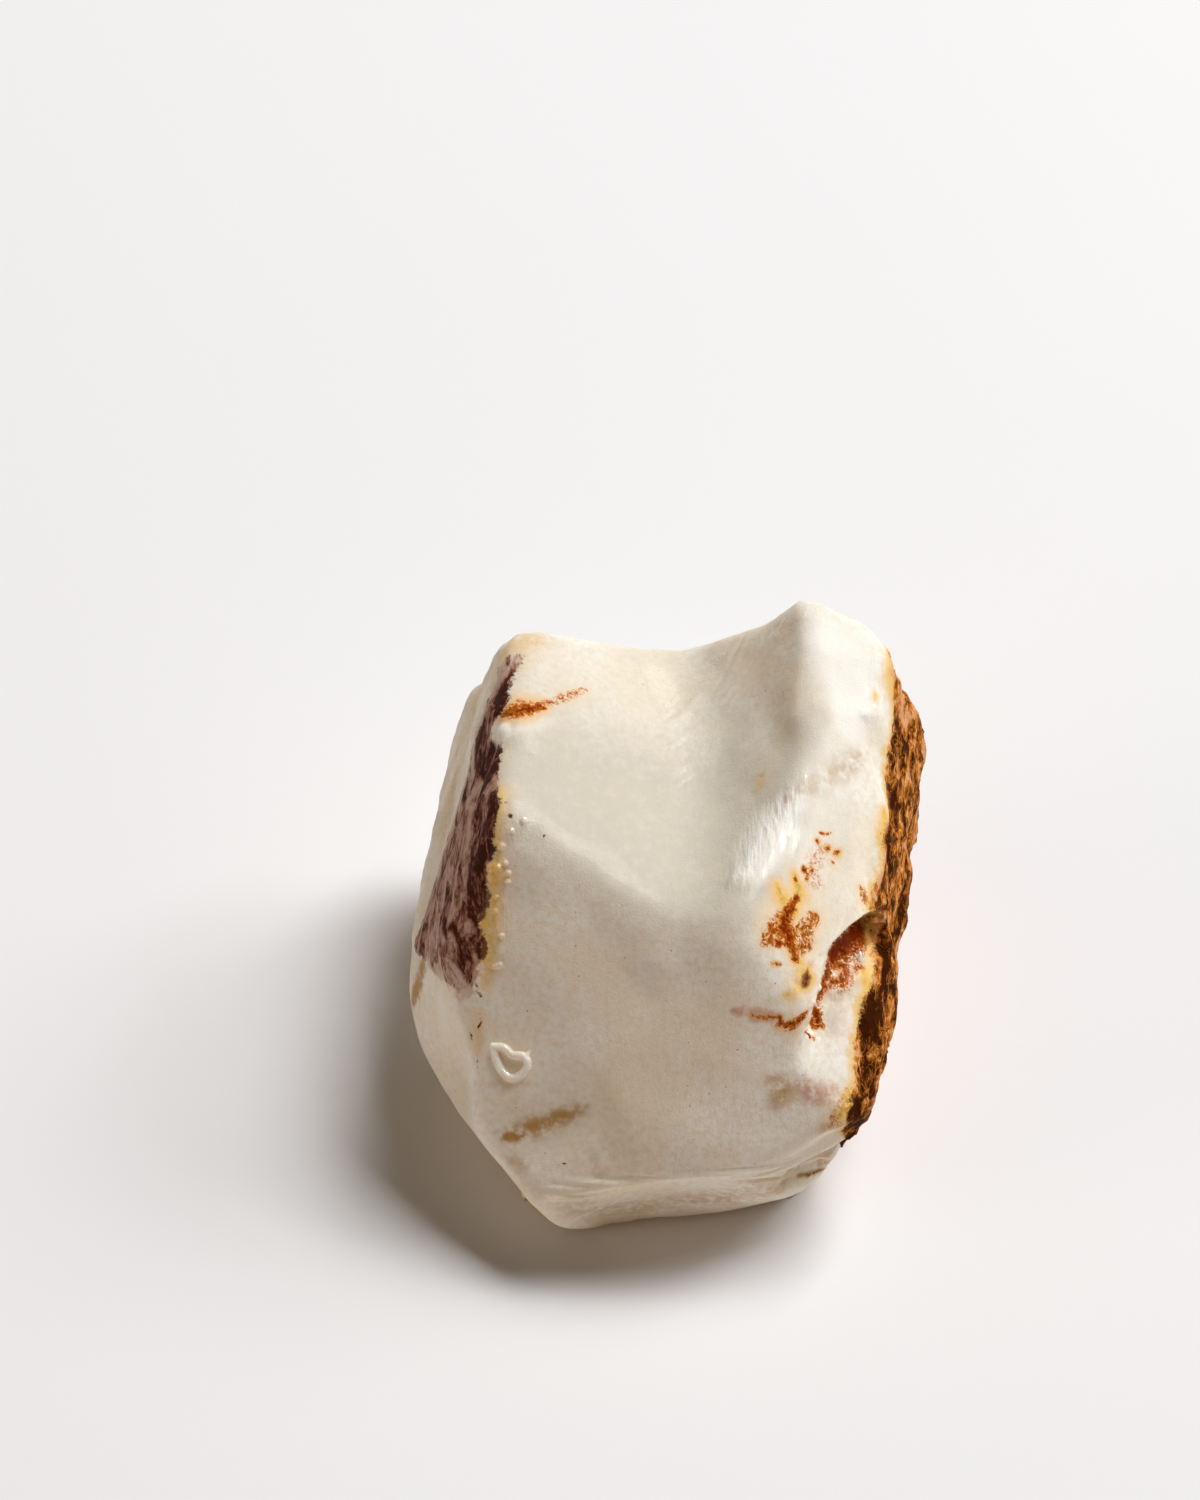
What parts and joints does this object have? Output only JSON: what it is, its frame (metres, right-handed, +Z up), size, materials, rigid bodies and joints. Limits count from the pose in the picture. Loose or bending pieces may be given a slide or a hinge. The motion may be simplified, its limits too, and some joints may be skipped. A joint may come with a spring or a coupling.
{
  "type": "rough opal stone",
  "caption": "Rough milky-white opal, a worn block with a horn, a dished saddle, a chipped edge and brown host-rock skin on its sides.",
  "frame": {"origin": "under the middle of the stone's box, in the plane it rests on", "axes": "+Z up from the resting face, +Y from the front face to the back, +X from the left crust to the right crust"},
  "size_m": [0.0366, 0.0378, 0.0284],
  "materials": {
    "opal": "worn and waxy, milky white with brown host rock on two sides"
  },
  "bodies": {
    "root": {"opal": "opal"}
  },
  "joints": []
}
